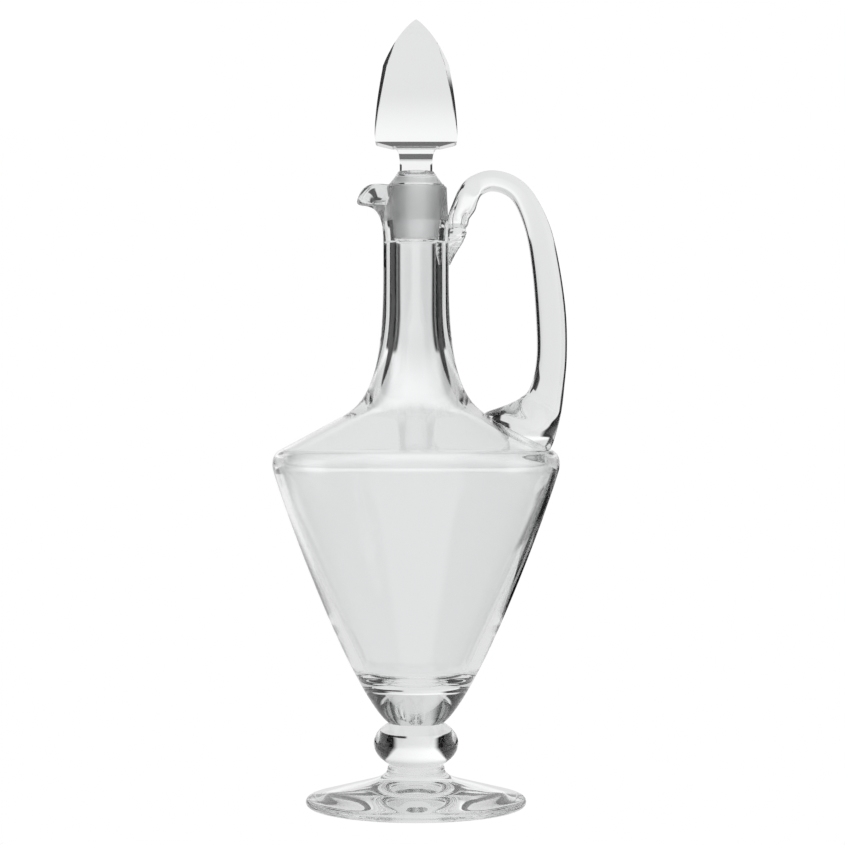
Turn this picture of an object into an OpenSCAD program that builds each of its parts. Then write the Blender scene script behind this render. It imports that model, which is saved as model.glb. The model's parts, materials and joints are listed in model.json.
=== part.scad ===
// Claret jug in blown glass: a footed vessel with a pulled spout and an
// applied handle, closed by a solid lancet stopper that lifts straight out.
// Millimetres. Origin on the jug's axis, on the table; +Z is up, the spout
// points to -X and the handle to +X.

/* [Foot] */
// Diameter of the foot
foot_d = 99; // [90:1:110]
// Thickness of the foot at its rounded rim
foot_rim_t = 3.8; // [3:0.1:5]
// Slope of the foot's upper face, in degrees
foot_slope = 15; // [10:0.5:17]
// Height of the foot, with the post that carries the knop
foot_h = 18.4; // [17.5:0.1:24]
// Diameter of the post
post_d = 25.6; // [23.6:0.2:30]
// Height of the hollow under the foot
foot_hollow = 5.5; // [2:0.5:7]
// Width of the ring that the jug stands on
rest_ring_w = 3; // [1.5:0.5:6]

/* [Knop] */
// Diameter of the knop
knop_d = 38; // [32:0.5:46]
// Height of the whole ball that the knop is cut from
knop_ball_h = 24; // [20:0.5:32]
// Diameter of the weld between the foot and the knop
lower_weld_d = 23; // [18:0.5:23]
// Diameter of the weld between the knop and the vessel
upper_weld_d = 24.6; // [18:0.2:28]

/* [Vessel] */
// Height of the vessel, from the knop to the rim
vessel_h = 241; // [230:1:260]
// Height of the widest ring over the knop
hip_h = 117; // [105:1:124]
// Diameter at the widest ring
body_d = 129.6; // [116:0.2:144]
// Rise of the shoulder, in degrees
shoulder_slope = 28.3; // [25:0.1:32]
// Distance from the axis at which the shoulder turns up to the neck
flare_r = 33; // [28:1:36]
// Length of the straight neck under the rim
neck_l = 39; // [34:1:50]
// Outer diameter of the neck
neck_d = 29.6; // [27.6:0.2:33]
// Outer diameter of the rim
rim_d = 27.8; // [27.4:0.1:29.4]
// Wall of the bowl and the shoulder
wall = 2.6; // [1.6:0.1:4]
// Bore of the neck
bore_d = 18.2; // [14:0.2:19]
// Solid glass between the knop and the floor of the bowl
base_t = 18.5; // [12:0.5:26]

/* [Spout] */
// How far the spout reaches past the rim
spout_reach = 12.6; // [8:0.2:16]
// Half angle in which the spout leaves the rim, in degrees
spout_spread = 23.5; // [18:0.5:30]
// How far the tip of the spout hangs under the rim
spout_droop = 6.2; // [3:0.2:8]
// Depth of the pulled glass, from the rim down to the plain neck
spout_depth = 24; // [20:1:30]
// Wall of the spout
spout_wall = 1.9; // [1.2:0.1:2.6]

/* [Stopper] */
// Length of the ground plug inside the neck
plug_l = 24.2; // [18:0.2:28]
// Diameter of the plug at its widest, level with the rim
plug_top_d = 25.4; // [24:0.1:25.6]
// Diameter of the plug at its lower end
plug_end_d = 19.5; // [19.2:0.1:22]
// Gap between the ground plug and the neck, on the radius
plug_gap = 0.08; // [0.04:0.01:0.2]
// Width of the waist over the plug, in the plane of the handle
waist_w = 14.6; // [12:0.2:16]
// Thickness of the waist, from front to back
waist_t = 8.8; // [7:0.2:9]
// Height of the flared collar from the plug up to the waist
collar_h = 6.6; // [5:0.2:9]
// Height of the hollow-sided shank between the collar and the head
shank_h = 12; // [9:0.5:16]
// Width of the head across its turned edges
head_w = 37; // [30:0.5:44]
// Thickness of the head between its two broad faces
head_t = 14; // [11:0.5:24]
// Height of the head
head_h = 56; // [46:1:66]
// Height on the head at which its sides turn in to the point
head_turn_h = 34.5; // [28:0.5:40]
// Width of the head where its sides turn in
head_turn_w = 29.8; // [26:0.2:30]
// Width of the bevels on the head's upright corners, where its sides turn in
corner_bevel = 1.8; // [0.6:0.1:3]

/* [Handle] */
// Distance from the axis to the middle of the grip
grip_x = 61.2; // [57:0.2:68]
// Thickness of the grip, seen from the side
grip_t = 13.4; // [9:0.2:15]
// Width of the grip, seen from behind
grip_w = 13; // [10:0.5:18]
// How square the section of the grip is: 2 is an oval, 6 has flat sides and tight corners
grip_square = 5; // [2:0.5:6]
// Thickness of the arch at the top of the handle
arch_t = 9; // [7:0.2:11]
// Height of the arch's top over the rim
arch_rise = 7.2; // [4:0.2:12]
// Distance from the axis to the middle of the pad on the shoulder
pad_x = 46; // [43:0.5:48]
// Length of the pad on the shoulder
pad_l = 34; // [28:1:36]
// Width of the pad on the shoulder
pad_w = 25; // [20:1:30]
// Width of the pad on the neck
neck_pad_w = 13; // [10:0.5:16]
// Depth of the pinched folds in the pad on the neck
fold_depth = 0.8; // [0:0.1:1]
// Depth of the crimp that closes the folds over the tail
crimp_depth = 1.4; // [0:0.1:2]

/* [Hidden] */
glass = [0.86, 0.9, 0.92, 0.45];
smooth = 128;             // segments of every turned surface
seam = 0.02;              // gap at the seam between pieces that are welded hot

// Heights of the stack
foot_r = foot_d / 2;
knop_r = knop_d / 2;
ball_b = knop_ball_h / 2;
knop_mid_z = foot_h + ball_b * sqrt(1 - pow(lower_weld_d / knop_d, 2));
vessel_z = knop_mid_z + ball_b * sqrt(1 - pow(upper_weld_d / knop_d, 2));
rim_z = vessel_z + vessel_h;
hip_z = vessel_z + hip_h;
floor_z = vessel_z + base_t;

// Radii of the vessel
body_r = body_d / 2;
neck_r = neck_d / 2;
rim_r = rim_d / 2;
bore_r = bore_d / 2;

// Points on a cubic curve after its start a, pulled towards b and c to its end d
function curve(a, b, c, d, n = 12) = [for (i = [1:n]) let (t = i / n)
    pow(1 - t, 3) * a + 3 * pow(1 - t, 2) * t * b + 3 * (1 - t) * t * t * c + pow(t, 3) * d];

// Points on an arc about c, from angle a0 to angle a1
function arc(c, r, a0, a1, n = 8) = [for (i = [0:n]) let (a = a0 + (a1 - a0) * i / n)
    c + r * [cos(a), sin(a)]];

function mix(a, b, t) = a + (b - a) * t;

// ---- Foot ----------------------------------------------------------------

rim_round = foot_rim_t / 2;
rim_mid = [foot_r - rim_round, rim_round];
slope_top = rim_mid + rim_round * [sin(foot_slope), cos(foot_slope)];
fillet_r = post_d / 2 + 11;   // where the slope turns up into the post
post_skirt = 1.6;             // how far the slope's fillet stops under the post's bulge

function foot_slope_z(r) = slope_top[1] + (slope_top[0] - r) * tan(foot_slope);

function foot_profile() = let (
    a = [fillet_r, foot_slope_z(fillet_r)],
    bulge = [post_d / 2, foot_h - post_skirt],
    top = [lower_weld_d / 2, foot_h],
    in_r = foot_r - rim_round - rest_ring_w
) concat(
    [[0, foot_hollow]],
    curve([0, foot_hollow], [in_r * 0.4, foot_hollow], [in_r * 0.75, 0.8], [in_r, 0]),
    arc(rim_mid, rim_round, -90, 90 - foot_slope, 14),
    [a],
    curve(a, [fillet_r - 7, foot_slope_z(fillet_r - 7)], [bulge[0] + 0.2, bulge[1] - 3.2], bulge, 14),
    curve(bulge, [bulge[0], foot_h - 0.7], [mix(top[0], bulge[0], 0.6), foot_h], top, 6),
    [[0, foot_h]]
);

module foot() {
    color(glass) rotate_extrude($fn = smooth) polygon(foot_profile());
}

// ---- Knop ----------------------------------------------------------------

function knop_profile() = let (
    a0 = -acos(lower_weld_d / knop_d),
    a1 = acos(upper_weld_d / knop_d)
) concat(
    [[0, foot_h]],
    [for (i = [0:40]) let (a = mix(a0, a1, i / 40)) [knop_r * cos(a), knop_mid_z + ball_b * sin(a)]],
    [[0, vessel_z]]
);

module knop() {
    color(glass) rotate_extrude($fn = smooth) polygon(knop_profile());
}

// ---- Vessel --------------------------------------------------------------

hip_low = [body_r - 0.9, hip_z - 4.5];      // end of the bowl's side
hip_top = [body_r - 3.3, hip_z + 5.5];      // start of the shoulder
bowl_out = [14.8, 11.2];                    // pull at the foot of the bowl
bowl_in = [9, 29.2];                        // pull under the widest ring
spout_z = rim_z - spout_depth;              // where the plain neck ends

// The shoulder is straight: its height at a distance r from the axis
function shoulder_z(r) = hip_top[1] + (hip_top[0] - r) * tan(shoulder_slope);

flare_low = [flare_r, shoulder_z(flare_r)];
flare_pull = [flare_r - 13.3, shoulder_z(flare_r - 13.3)];
flare_top = [neck_r, rim_z - neck_l];

// Outside of the vessel from the weld up to the start of the shoulder
function bowl_outside() = let (start = [upper_weld_d / 2, vessel_z]) concat(
    [start],
    curve(start, start + bowl_out, hip_low - bowl_in, hip_low, 28),
    curve(hip_low, [body_r + 0.4, hip_z - 0.3], hip_top + [3, -3 * tan(shoulder_slope)], hip_top, 8)
);

// Outside of the vessel from the shoulder up to the height where the spout starts
function neck_outside(top_z) = concat(
    [flare_low],
    curve(flare_low, flare_pull, [neck_r, mix(flare_pull[1], flare_top[1], 0.29)], flare_top, 26),
    [[neck_r, top_z]]
);

// Inside of the vessel
floor_r = 20.5;                             // half width of the floor
side_low = [floor_r + 4, floor_z + 8];
side_top = hip_low - [wall, 0];
shoulder_drop = wall / cos(shoulder_slope);
in_shoulder = hip_top - [3, shoulder_drop - 3 * tan(shoulder_slope)];
in_flare_r = flare_r - 2;

function in_shoulder_z(r) = shoulder_z(r) - shoulder_drop;

function bowl_inside() = let (
    start = [0, floor_z],
    low = [in_flare_r, in_shoulder_z(in_flare_r)],
    top = [bore_r, flare_top[1] - 15]
) concat(
    [start],
    curve(start, [floor_r * 0.7, floor_z], [floor_r + 0.6, floor_z + 1.2], side_low, 12),
    curve(side_low, side_low + [6.2, 12.4], side_top - bowl_in - [0, 4], side_top, 22),
    curve(side_top, side_top + [1.1, 3.6], in_shoulder + [2.8, -2.8 * tan(shoulder_slope)], in_shoulder, 8),
    [low],
    curve(low, [low[0] - 13, in_shoulder_z(low[0] - 13)],
        [bore_r, mix(low[1], top[1], 0.42)], top, 22)
);

// The ground socket tapers like the plug that it takes
socket_rate = (plug_top_d - plug_end_d) / 2 / plug_l;
plug_end_z = rim_z - plug_l;

function plug_r(z) = plug_end_d / 2 + (z - plug_end_z) * socket_rate;

function hollow_profile() = concat(
    bowl_inside(),
    [
        [bore_r, plug_end_z - 1.2],
        [plug_r(plug_end_z) + plug_gap, plug_end_z - 0.4],
        [plug_r(rim_z + 4) + plug_gap, rim_z + 4],
        [0, rim_z + 4]
    ]
);

// Spout: rings of points round the neck, from the plain neck up to the lip,
// over it and down inside. Every point of a ring rides on a curve in the
// upright plane through the axis at its own angle.
ring_n = 72;                                // points in a ring
outer_n = 14;                               // rings up the outside
inner_n = 7;                                // rings down the inside
lip_rise = 1.6;                             // the lip swells up beside the spout
tip_spread = 9.7;                           // half angle of the drooping tip
lip_round = 0.9;                            // rounding over the lip
socket_hide = 0.6;                          // inner rings lie this far inside the socket

function bump(a, spread) = exp(-pow(a / spread, 2));
// Angle of the ring's point i from the spout, with the points closer at the spout
function ring_a(i) = i * 360 / ring_n - 26 * sin(i * 360 / ring_n);
function off_spout(a) = abs(a > 180 ? a - 360 : a);

function lip_r(a) = rim_r + spout_reach * bump(a, spout_spread);
function lip_z(a) = rim_z - lip_round + lip_rise * bump(a, spout_spread * 1.1)
    - (spout_droop + lip_rise - lip_round) * bump(a, tip_spread);

function outside_curve(a) = let (w = bump(a, spout_spread), lip = [lip_r(a), lip_z(a)])
    concat([[neck_r - seam, spout_z]], curve(
        [neck_r - seam, spout_z],
        [neck_r - seam, mix(rim_z - 16, rim_z - 2, w)],
        mix([mix(neck_r, rim_r, 0.8), rim_z - 8], lip + [1, -5.8], w),
        lip, outer_n));

function lip_curve(a) = let (lip = [lip_r(a), lip_z(a)], in_r = trough_r(a))
    [
        lip + [-0.12, 0.5] * lip_round,
        [mix(lip[0], in_r, 0.5), lip[1] + lip_round],
        [in_r + 0.1, lip[1] + 0.55 * lip_round]
    ];

function trough_r(a) = let (w = bump(a, spout_spread))
    mix(plug_r(rim_z) - socket_hide, lip_r(a) - spout_wall, w > 0.02 ? sqrt(w) : 0);

function inside_curve(a) = let (
    w = bump(a, spout_spread),
    lip = [trough_r(a), lip_z(a)],
    low = [plug_r(rim_z - 10) - socket_hide, rim_z - 10]
) concat(
    curve(lip, lip - [mix(0.2, 3.6, w), mix(2.6, 1.9, w)], low + [0.4, 4], low, inner_n),
    [[plug_r(spout_z) - socket_hide, spout_z]]
);

module spout_neck() {
    rows = [for (i = [0:ring_n - 1]) let (a = off_spout(ring_a(i)))
        concat(outside_curve(a), lip_curve(a), inside_curve(a))];
    row_n = len(rows[0]);
    points = [for (i = [0:ring_n - 1], p = rows[i]) let (a = 180 + ring_a(i))
        [p[0] * cos(a), p[0] * sin(a), p[1]]];
    faces = [for (i = [0:ring_n - 1], j = [0:row_n - 1]) let (
        i2 = (i + 1) % ring_n,
        j2 = (j + 1) % row_n,
        a = i * row_n + j, b = i2 * row_n + j, c = i2 * row_n + j2, d = i * row_n + j2
    ) each [[a, c, b], [a, d, c]]];
    polyhedron(points, faces, convexity = 6);
}

module body() {
    color(glass) difference() {
        union() {
            rotate_extrude($fn = smooth)
                polygon(concat([[0, vessel_z]], bowl_outside(), neck_outside(spout_z), [[0, spout_z]]));
            spout_neck();
        }
        rotate_extrude($fn = smooth) polygon(hollow_profile());
    }
}

// ---- Stopper -------------------------------------------------------------

plug_top_z = rim_z + 0.7;                   // the plug stands a little proud of the rim
collar_z = plug_top_z + collar_h;
head_z = collar_z + shank_h;
tip_z = head_z + head_h;
turn_z = head_z + head_turn_h;
ledge = 0.8;                                // step from the collar in to the waist
head_low = [head_w / 2, head_z + 2];
face_low = [head_t / 2, head_z + 4];
cut_from_z = collar_z - 1.5;                // the cut part is rooted this deep in the collar

// The plug and the collar are turned
function plug_profile() = let (
    plug_edge = [plug_r(plug_top_z), plug_top_z],
    collar_top = [waist_w / 2 + ledge, collar_z - 0.6]
) concat(
    [
        [0, plug_end_z],
        [plug_end_d / 2 - 0.5, plug_end_z],
        [plug_r(plug_end_z + 0.5), plug_end_z + 0.5],
        plug_edge
    ],
    curve(plug_edge, plug_edge + [-1.7, 1.2], collar_top + [1, -1.6], collar_top, 8),
    [[0, collar_z - 0.6]]
);

// All above the collar is cut: first the outline of the broad faces, a half of
// it from the waist up to the point
function broad_outline() = let (
    waist = [waist_w / 2, collar_z + 2.2],
    under = [head_w / 2 * 0.57, head_z - 1.9],
    bend = [head_turn_w / 2, turn_z],
    tip = [0.1, tip_z]
) concat(
    [[waist_w / 2, cut_from_z], waist],
    curve(waist, waist + [0, 4.2], under - [2.4, 1.4], under, 10),
    [[head_w / 2 - 1.2, head_z - 0.2], [head_w / 2 - 0.3, head_z + 0.4], head_low],
    curve(head_low, head_low + [0.05, head_turn_h * 0.42], bend + [0.35, -head_turn_h * 0.1], bend, 14),
    curve(bend, bend + [-2.6, 7.4], tip + [5, -3], tip, 16)
);

// Then the outline from the side: the waist, two bevels with a step between
// them, and the broad faces, which meet in an edge at the point
function side_outline() = let (
    waist_half = waist_t / 2,
    step_half = mix(waist_half, head_t / 2, 0.5),
    tip = [0.4, tip_z]
) concat(
    [
        [waist_half, cut_from_z],
        [waist_half, head_z - 7.6],
        [step_half, head_z - 5],
        [step_half, head_z - 2.4],
        [head_t / 2, head_z + 0.2],
        face_low
    ],
    curve(face_low, face_low + [0, head_h * 0.4], tip + [4.2, -head_h * 0.22], tip, 26)
);

// Last the bevels on the four upright corners, widest where the sides turn in.
// Each point is the sum of the half width and the half thickness that are left
bevel_end_z = head_z + head_h * 0.82;
bevel_n = 12;

function half_at(outline, z) = lookup(z, [for (p = outline) [p[1], p[0]]]);
function bevel_at(z) = z < turn_z
    ? corner_bevel * sin(90 * (z - head_low[1]) / (turn_z - head_low[1])) - 0.1
    : corner_bevel * cos(90 * (z - turn_z) / (bevel_end_z - turn_z)) - 0.1;

function corner_outline() = let (
    broad = broad_outline(),
    side = side_outline(),
    waist_sum = (waist_w + waist_t) / 2 - 0.9
) concat(
    [[waist_sum, cut_from_z], [waist_sum, collar_z + 2.2], [head_w, head_z - 7.6], [head_w, head_z]],
    [for (i = [0:bevel_n]) let (z = mix(head_low[1], bevel_end_z, i / bevel_n))
        [half_at(broad, z) + half_at(side, z) - bevel_at(z), z]],
    [[head_t, bevel_end_z + 1], [head_t / 2, tip_z]]
);

// A slab with this outline, mirrored on the axis and turned about it
module slab(outline, angle, share = 1) {
    mirrored = [for (i = [len(outline) - 1:-1:0]) [-outline[i][0], outline[i][1]]];
    rotate([90, 0, angle]) linear_extrude(head_w * 2, center = true)
        polygon([for (p = concat(outline, mirrored)) [p[0] * share, p[1]]]);
}

module stopper() {
    color(glass) union() {
        rotate_extrude($fn = smooth) polygon(plug_profile());
        intersection() {
            slab(broad_outline(), 0);
            slab(side_outline(), 90);
            slab(corner_outline(), 45, sqrt(0.5));
            slab(corner_outline(), -45, sqrt(0.5));
        }
    }
}

// ---- Handle --------------------------------------------------------------

handle_sides = 44;                          // points round a section
handle_steps = 4;                           // sections between two stations
fold_n = 11;                                // folds round the pad on the neck
pad_z = shoulder_z(pad_x);
arch_z = rim_z + arch_rise - arch_t / 2;

// Stations along the handle, from the pad on the shoulder over the arch to the
// tail on the neck: x and z of the middle, tilt of the section from the inner
// side to the outer side, thickness, width, and the shares of the grip's square
// section and of the pinched folds
function handle_stations() = [
    [pad_x - 2.2, pad_z - 3.4, -shoulder_slope, pad_l - 1, pad_w - 1, 0, 0],
    [pad_x + 0.3, pad_z + 1.4, -shoulder_slope + 3, pad_l - 0.6, pad_w, 0.05, 0],
    [mix(pad_x, grip_x, 0.365), pad_z + 6.9, -21, mix(pad_l, grip_t, 0.38), mix(pad_w, grip_w, 0.4), 0.3, 0],
    [mix(pad_x, grip_x, 0.655), pad_z + 12.5, -15, mix(pad_l, grip_t, 0.7), mix(pad_w, grip_w, 0.78), 0.7, 0],
    [grip_x - 2.2, pad_z + 19.6, -6, grip_t + 1.6, grip_w + 0.6, 0.9, 0],
    [grip_x - 0.2, mix(pad_z, arch_z, 0.3), 0, grip_t, grip_w, 1, 0],
    [grip_x - 0.6, mix(pad_z, arch_z, 0.47), 3, grip_t, grip_w, 1, 0],
    [grip_x - 3, mix(pad_z, arch_z, 0.66), 9, grip_t - 1.2, grip_w - 0.4, 1, 0],
    [grip_x - 6.4, arch_z - 21.8, 17, mix(arch_t, grip_t, 0.45), grip_w - 0.8, 1, 0],
    [grip_x - 12.4, arch_z - 8.4, 40, arch_t + 0.5, grip_w - 1.2, 1, 0],
    [grip_x - 18.8, arch_z - 2.2, 66, arch_t, grip_w - 1.4, 1, 0],
    [mix(neck_r, grip_x, 0.42), arch_z, 90, arch_t, grip_w - 1.6, 1, 0],
    [mix(neck_r, grip_x, 0.28), arch_z - 1.9, 118, arch_t + 0.4, grip_w - 1.4, 1, 0],
    [neck_r + 9.4, arch_z - 5.4, 138, arch_t + 1.4, mix(neck_pad_w, grip_w, 0.6), 0.9, 0],
    [neck_r + 6.8, arch_z - 11.4, 158, arch_t + 1.6, neck_pad_w, 0.8, 0.4],
    [neck_r + 4.4, rim_z - 13.8, 175, arch_t + 0.8, neck_pad_w, 0.6, 1],
    [neck_r + 3.9, rim_z - 16.8, 178, arch_t + 0.4, neck_pad_w - 0.2, 0.5, 1],
    [neck_r + 3.6, rim_z - 18.8, 180, arch_t + 0.4 - crimp_depth, neck_pad_w - 0.4 - crimp_depth, 0.3, 0.5],
    [neck_r + 3.3, rim_z - 21, 181, arch_t + 0.2, neck_pad_w - 0.6, 0.2, 0.2],
    [neck_r + 2.4, rim_z - 25.4, 184, arch_t - 1.4, neck_pad_w - 1.6, 0, 0.2],
    [neck_r + 0.9, rim_z - 30.6, 186, arch_t - 5, neck_pad_w - 5, 0, 0.2],
    [neck_r - 0.3, rim_z - 35.2, 186, 1.6, 3, 0, 0]
];

// Smooth values between the stations p1 and p2, with p0 before and p3 after
function glide(p0, p1, p2, p3, t) = 0.5 * (2 * p1 + (p2 - p0) * t
    + (2 * p0 - 5 * p1 + 4 * p2 - p3) * t * t + (3 * p1 - p0 - 3 * p2 + p3) * pow(t, 3));

function handle_sections() = let (s = handle_stations(), last = len(s) - 1) concat(
    [for (i = [0:last - 1], k = [0:handle_steps - 1])
        glide(s[max(i - 1, 0)], s[i], s[i + 1], s[min(i + 2, last)], k / handle_steps)],
    [s[last]]
);

function signed_pow(value, power) = sign(value) * pow(abs(value), power);

// One section of the handle: an oval or a rounded square, creased between folds where the share asks
function handle_ring(s) = [for (i = [0:handle_sides - 1]) let (
    a = i * 360 / handle_sides,
    roundness = 2 / mix(2, grip_square, s[5]),
    fold = 1 - 2 * fold_depth / neck_pad_w * s[6] * (1 - abs(sin(a * fold_n / 2))),
    u = s[3] / 2 * signed_pow(cos(a), roundness) * fold,
    v = s[4] / 2 * signed_pow(sin(a), roundness) * fold
) [s[0] + u * cos(s[2]), v, s[1] + u * sin(s[2])]];

module handle_rod() {
    sections = handle_sections();
    ring_last = len(sections) - 1;
    points = [for (s = sections) each handle_ring(s)];
    sides = [for (j = [0:ring_last - 1], i = [0:handle_sides - 1]) let (
        i2 = (i + 1) % handle_sides,
        a = j * handle_sides + i, b = j * handle_sides + i2
    ) each [[a, a + handle_sides, b], [b, a + handle_sides, b + handle_sides]]];
    first = [for (i = [0:handle_sides - 1]) i];
    last = [for (i = [handle_sides - 1:-1:0]) ring_last * handle_sides + i];
    polyhedron(points, concat([first], sides, [last]), convexity = 6);
}

// The hot handle takes the shape of the vessel that it is pressed on
module pressed_form() {
    low_z = hip_top[1] - 12;
    cylinder(r = neck_r + seam, h = rim_z, $fn = smooth);
    rotate_extrude($fn = smooth) polygon(concat(
        [[0, low_z], [hip_top[0], low_z], hip_top + [seam, seam]],
        [for (p = neck_outside(rim_z)) if (p[1] < flare_top[1] - 4) p + [seam, seam]],
        [[0, flare_top[1] - 4]]
    ));
}

module handle() {
    color(glass) difference() {
        handle_rod();
        pressed_form();
    }
}

foot();
knop();
body();
handle();
stopper();
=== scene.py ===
import json
import math

import bmesh
import bpy
from mathutils import Matrix, Vector
from mathutils.bvhtree import BVHTree

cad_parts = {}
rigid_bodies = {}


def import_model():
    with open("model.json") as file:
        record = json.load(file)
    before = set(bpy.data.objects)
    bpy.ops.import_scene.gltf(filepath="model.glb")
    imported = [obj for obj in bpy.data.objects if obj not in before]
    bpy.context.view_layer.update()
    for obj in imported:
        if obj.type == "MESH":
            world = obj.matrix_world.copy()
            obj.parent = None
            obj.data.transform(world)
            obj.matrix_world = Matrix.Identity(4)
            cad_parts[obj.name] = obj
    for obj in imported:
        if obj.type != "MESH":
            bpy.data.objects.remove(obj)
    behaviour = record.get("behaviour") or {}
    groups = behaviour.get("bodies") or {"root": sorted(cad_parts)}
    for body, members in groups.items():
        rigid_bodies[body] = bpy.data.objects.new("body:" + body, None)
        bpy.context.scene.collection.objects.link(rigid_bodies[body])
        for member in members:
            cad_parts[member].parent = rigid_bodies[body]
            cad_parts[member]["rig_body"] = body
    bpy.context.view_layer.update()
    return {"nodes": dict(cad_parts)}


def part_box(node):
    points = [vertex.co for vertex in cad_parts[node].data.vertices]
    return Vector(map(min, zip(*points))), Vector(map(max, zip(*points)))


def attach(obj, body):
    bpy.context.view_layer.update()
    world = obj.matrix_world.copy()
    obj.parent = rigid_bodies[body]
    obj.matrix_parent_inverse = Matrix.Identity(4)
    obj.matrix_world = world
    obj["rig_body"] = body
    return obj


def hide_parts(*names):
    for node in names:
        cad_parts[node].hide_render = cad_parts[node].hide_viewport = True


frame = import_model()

mm = 0.001               # the sizes below are in millimetres
oneSpot = 0.0005         # points closer than this are merged
oneLevel = 0.001         # heights closer than this are the same
scene = bpy.context.scene


# points and curves for the turned and lofted pieces

def mix(a, b, t):
    return a + (b - a) * t


def mixPoint(a, b, t):
    return (mix(a[0], b[0], t), mix(a[1], b[1], t))


def onCurve(a, b, c, d, t):
    # a point on the cubic curve from a to d that is pulled towards b and c
    s = 1 - t
    wa, wb, wc, wd = s * s * s, 3 * s * s * t, 3 * s * t * t, t * t * t
    return (wa * a[0] + wb * b[0] + wc * c[0] + wd * d[0], wa * a[1] + wb * b[1] + wc * c[1] + wd * d[1])


def curve(a, b, c, d, count):
    # points after a on a curve that ends in d
    return [onCurve(a, b, c, d, i / count) for i in range(1, count + 1)]


def line(a, b, count):
    return [mixPoint(a, b, i / count) for i in range(1, count + 1)]


def arc(centre, radius, start, end, count):
    angles = [math.radians(mix(start, end, i / count)) for i in range(count + 1)]
    return [(centre[0] + radius * math.cos(a), centre[1] + radius * math.sin(a)) for a in angles]


def turn(profile, steps):
    # spins a profile of (radius, height) points through an eighth turn, then doubles it to the full round
    bm = bmesh.new()
    rowTag = bm.verts.layers.int.new("row")
    verts = []
    for row, (r, z) in enumerate(profile):
        vert = bm.verts.new((max(r, 0), 0, z))
        vert[rowTag] = row
        verts.append(vert)
    edges = [bm.edges.new(pair) for pair in zip(verts, verts[1:])]
    bmesh.ops.spin(bm, geom=verts + edges, axis=(0, 0, 1), cent=(0, 0, 0), dvec=(0, 0, 0),
                   angle=math.pi / 4, steps=steps // 8, use_merge=False)
    for angle in (math.pi / 4, math.pi / 2, math.pi):
        copied = bmesh.ops.duplicate(bm, geom=bm.verts[:] + bm.edges[:] + bm.faces[:])["geom"]
        bmesh.ops.rotate(bm, cent=(0, 0, 0), matrix=Matrix.Rotation(angle, 3, "Z"),
                         verts=[part for part in copied if isinstance(part, bmesh.types.BMVert)])
    bmesh.ops.remove_doubles(bm, verts=bm.verts, dist=oneSpot)
    bmesh.ops.recalc_face_normals(bm, faces=bm.faces)
    return bm


def isLevel(face, height):
    return all(abs(v.co.z - height) < oneLevel for v in face.verts)


def finishPiece(bm, name, node, materials, sharpAngle=35, finishAngle=8):
    # brings a mesh in millimetres to metres, in the place of its CAD node. An edge is drawn sharp
    # past the first angle, or past the second one where two finishes meet
    bmesh.ops.scale(bm, vec=(mm, mm, mm), verts=bm.verts)
    for face in bm.faces:
        face.smooth = True
    for edge in bm.edges:
        finishes = {face.material_index for face in edge.link_faces}
        limit = sharpAngle if len(finishes) == 1 else finishAngle
        edge.smooth = edge.calc_face_angle(0) < math.radians(limit)
    mesh = bpy.data.meshes.new(name)
    bm.to_mesh(mesh)
    bm.free()
    for material in materials:
        mesh.materials.append(material)
    piece = bpy.data.objects.new(name, mesh)
    scene.collection.objects.link(piece)
    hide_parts(node)
    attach(piece, frame["nodes"][node]["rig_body"])
    print(f"{name}: {len(mesh.polygons)} faces")


# materials: every glass has its waves or its grain from a node group
glassLook = {"tint": (0.985, 0.99, 0.992), "ior": 1.52}
waveLook = {                # height and spacing of the waves in each glass, in metres
    "blown": (0.00005, 0.022), "pressed": (0.00005, 0.014), "cut": (0.000006, 0.02),
    "flatten": 0.35, "detail": 1.5, "blur": 0.4,
}
groundLook = {
    "haze": (0.985, 0.99, 0.99), "roughness": 0.55, "uneven": 0.15,
    "grainSize": 0.0007, "grainHeight": 0.00004, "grainDetail": 3,
}


def mathNode(tree, operation, *values):
    node = tree.nodes.new("ShaderNodeMath")
    node.operation = operation
    for socket, value in zip(node.inputs, values):
        if isinstance(value, (int, float)):
            socket.default_value = value
        else:
            tree.links.new(value, socket)
    return node.outputs["Value"]


def newGroup(name, inputs, outputs):
    group = bpy.data.node_groups.new(name, "ShaderNodeTree")
    for side, sockets in (("INPUT", inputs), ("OUTPUT", outputs)):
        for title, kind in sockets.items():
            group.interface.new_socket(title, in_out=side, socket_type="NodeSocket" + kind)
    return group, group.nodes.new("NodeGroupInput"), group.nodes.new("NodeGroupOutput")


def noiseBumps(group, given, result, spacing):
    # a noise with the given spacing, and the bumps that it raises
    nodes, links = group.nodes, group.links
    noise, bumps = nodes.new("ShaderNodeTexNoise"), nodes.new("ShaderNodeBump")
    links.new(mathNode(group, "DIVIDE", 1, given.outputs[spacing]), noise.inputs["Scale"])
    links.new(noise.outputs["Fac"], bumps.inputs["Height"])
    links.new(given.outputs["Height"], bumps.inputs["Distance"])
    links.new(bumps.outputs["Normal"], result.inputs["Normal"])
    return noise, nodes.new("ShaderNodeTexCoord").outputs["Object"]


def makeWaves(look):
    # soft waves, drawn out along the height of the piece, as a tilt of its surface
    group, given, result = newGroup("handmadeWaves", {"Height": "Float", "Spacing": "Float"},
                                    {"Normal": "Vector"})
    noise, place = noiseBumps(group, given, result, "Spacing")
    noise.inputs["Detail"].default_value = look["detail"]
    noise.inputs["Roughness"].default_value = look["blur"]
    drawn = group.nodes.new("ShaderNodeMapping")
    drawn.inputs["Scale"].default_value = (1, 1, look["flatten"])
    group.links.new(place, drawn.inputs["Vector"])
    group.links.new(drawn.outputs["Vector"], noise.inputs["Vector"])
    return group


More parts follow.
